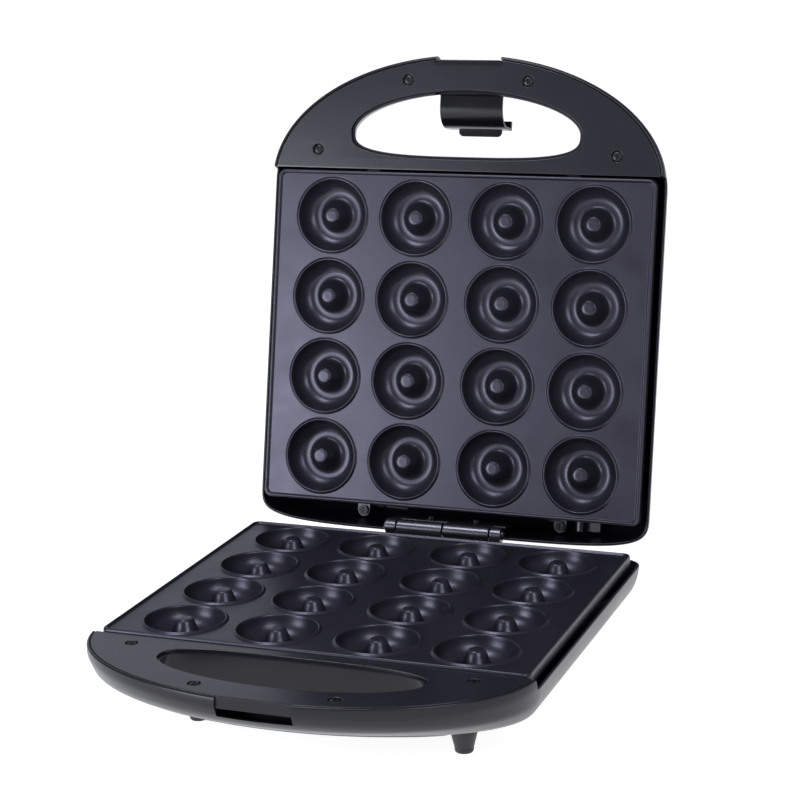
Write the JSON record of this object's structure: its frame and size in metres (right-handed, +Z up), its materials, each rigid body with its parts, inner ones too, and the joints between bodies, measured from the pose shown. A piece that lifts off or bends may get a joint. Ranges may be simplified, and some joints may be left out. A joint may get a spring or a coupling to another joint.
{
  "type": "donut maker",
  "caption": "Clamshell countertop donut maker with ring-shaped wells in both plates, a looped handle, a rear hinge and a swinging latch; shown open.",
  "frame": {"origin": "centre of the open appliance's bounding box on the table surface, midway between its left and right sides", "axes": "+Z up, -Y towards the user and the handle, +X to the user's right; the hinge pin runs along X at the rear"},
  "size_m": [0.2568, 0.3814, 0.3457],
  "materials": {
    "housing": "glossy black moulded plastic",
    "cover": "satin black moulded plastic",
    "nonstick": "dark grey-violet non-stick coating on cast aluminium",
    "latch_plastic": "glossy black moulded plastic",
    "hinge_steel": "dark blackened steel",
    "zinc_steel": "zinc-plated sheet steel",
    "screw_black": "black oxide steel",
    "foot_plastic": "black plastic with a grippy end",
    "element_metal": "sheathed heating tube",
    "shield_metal": "plain rolled sheet",
    "ceramic": "glazed ceramic and mica",
    "wire_sleeve": "dark glass-fibre sleeved wire",
    "gland_plastic": "black nylon",
    "red_lens": "translucent red plastic",
    "green_lens": "translucent green plastic",
    "lamp_glass": "neon lamp glass"
  },
  "bodies": {
    "base": {"base_housing": "housing", "base_handle_cover": "cover", "base_plate": "nonstick", "base_plate_straps": "zinc_steel", "base_strap_screws": "screw_black", "base_element": "element_metal", "base_element_clamps": "zinc_steel", "base_heat_shield": "shield_metal", "base_thermostat": "ceramic", "thermal_fuse": "ceramic", "terminal_block": "ceramic", "base_wires": "wire_sleeve", "cord_gland": "gland_plastic", "base_hinge_leaf": "hinge_steel", "base_hinge_screws": "screw_black", "hinge_pin": "hinge_steel", "base_feet": "foot_plastic", "base_foot_screws": "screw_black", "base_cover_screws": "screw_black"},
    "lid": {"lid_housing": "housing", "lid_handle_cover": "cover", "lid_plate": "nonstick", "lid_plate_straps": "zinc_steel", "lid_strap_screws": "screw_black", "lid_element": "element_metal", "lid_element_clamps": "zinc_steel", "lid_heat_shield": "shield_metal", "lid_thermostat": "ceramic", "lid_hinge_leaf": "hinge_steel", "lid_hinge_screws": "screw_black", "lid_cover_screws": "screw_black", "power_lens": "red_lens", "ready_lens": "green_lens", "indicator_lamps": "lamp_glass", "lid_wires": "wire_sleeve", "wire_clamp": "zinc_steel", "latch_pin": "hinge_steel"},
    "latch": {"latch": "latch_plastic"}
  },
  "joints": [
    {"name": "lid_hinge", "type": "hinge", "parent": "base", "child": "lid", "pos_m": [0, 0.105, 0.058], "axis": [1, 0, 0], "range_deg": [0, 102]},
    {"name": "latch_pivot", "type": "hinge", "parent": "lid", "child": "latch", "pos_m": [0, 0.17345, 0.32327], "axis": [1, 0, 0], "range_deg": [0, 180]}
  ]
}
